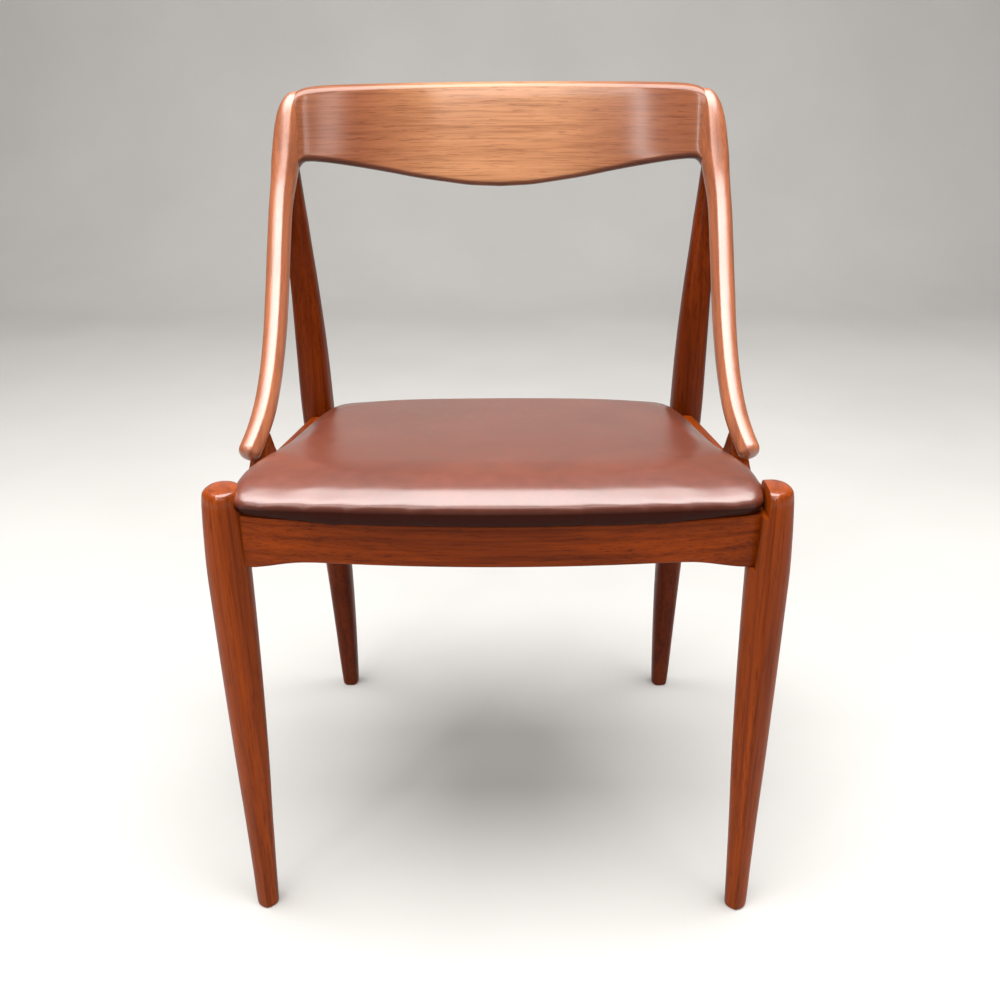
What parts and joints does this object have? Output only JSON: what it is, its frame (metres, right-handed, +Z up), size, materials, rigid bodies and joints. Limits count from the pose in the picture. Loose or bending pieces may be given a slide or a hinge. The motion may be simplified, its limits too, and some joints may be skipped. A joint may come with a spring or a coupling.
{
  "type": "dining chair",
  "caption": "Dining chair with a solid wood frame, tapered legs, sloping arms, a curved backrest and an upholstered seat pad.",
  "frame": {"origin": "middle of the chair's plan on the floor", "axes": "+Z up, the chair faces -Y; node names say left for -X, as seen from the front"},
  "size_m": [0.5116, 0.4426, 0.7732],
  "materials": {
    "leg_wood": "oiled",
    "rail_wood": "oiled",
    "arm_wood": "oiled",
    "back_wood": "oiled",
    "beech": "sanded",
    "beech_dowel": "sanded",
    "plywood": "sanded",
    "foam": "open cell",
    "seat_leather": "smooth, semi-gloss",
    "dust_cloth": "woven",
    "steel": "zinc plated"
  },
  "bodies": {
    "root": {"arm_left": "arm_wood", "arm_right": "arm_wood", "backrest": "back_wood", "block_screw_front_1_left": "steel", "block_screw_front_1_right": "steel", "block_screw_front_2_left": "steel", "block_screw_front_2_right": "steel", "block_screw_rear_1_left": "steel", "block_screw_rear_1_right": "steel", "block_screw_rear_2_left": "steel", "block_screw_rear_2_right": "steel", "corner_block_front_left": "beech", "corner_block_front_right": "beech", "corner_block_rear_left": "beech", "corner_block_rear_right": "beech", "dowel_arm_left": "beech_dowel", "dowel_arm_right": "beech_dowel", "dowel_backrest_lower_left": "beech_dowel", "dowel_backrest_lower_right": "beech_dowel", "dowel_backrest_upper_left": "beech_dowel", "dowel_backrest_upper_right": "beech_dowel", "dowel_front_rail_lower_left": "beech_dowel", "dowel_front_rail_lower_right": "beech_dowel", "dowel_front_rail_upper_left": "beech_dowel", "dowel_front_rail_upper_right": "beech_dowel", "dowel_leg_top_left": "beech_dowel", "dowel_leg_top_right": "beech_dowel", "dowel_rear_rail_lower_left": "beech_dowel", "dowel_rear_rail_lower_right": "beech_dowel", "dowel_rear_rail_upper_left": "beech_dowel", "dowel_rear_rail_upper_right": "beech_dowel", "dowel_side_front_lower_left": "beech_dowel", "dowel_side_front_lower_right": "beech_dowel", "dowel_side_front_upper_left": "beech_dowel", "dowel_side_front_upper_right": "beech_dowel", "dowel_side_rear_lower_left": "beech_dowel", "dowel_side_rear_lower_right": "beech_dowel", "dowel_side_rear_upper_left": "beech_dowel", "dowel_side_rear_upper_right": "beech_dowel", "front_leg_left": "leg_wood", "front_leg_right": "leg_wood", "front_rail": "rail_wood", "rear_leg_left": "leg_wood", "rear_leg_right": "leg_wood", "rear_rail": "rail_wood", "seat_base": "plywood", "seat_cover": "seat_leather", "seat_dust_cover": "dust_cloth", "seat_foam": "foam", "seat_screw_front_left": "steel", "seat_screw_front_right": "steel", "seat_screw_rear_left": "steel", "seat_screw_rear_right": "steel", "side_rail_left": "rail_wood", "side_rail_right": "rail_wood"}
  },
  "joints": []
}
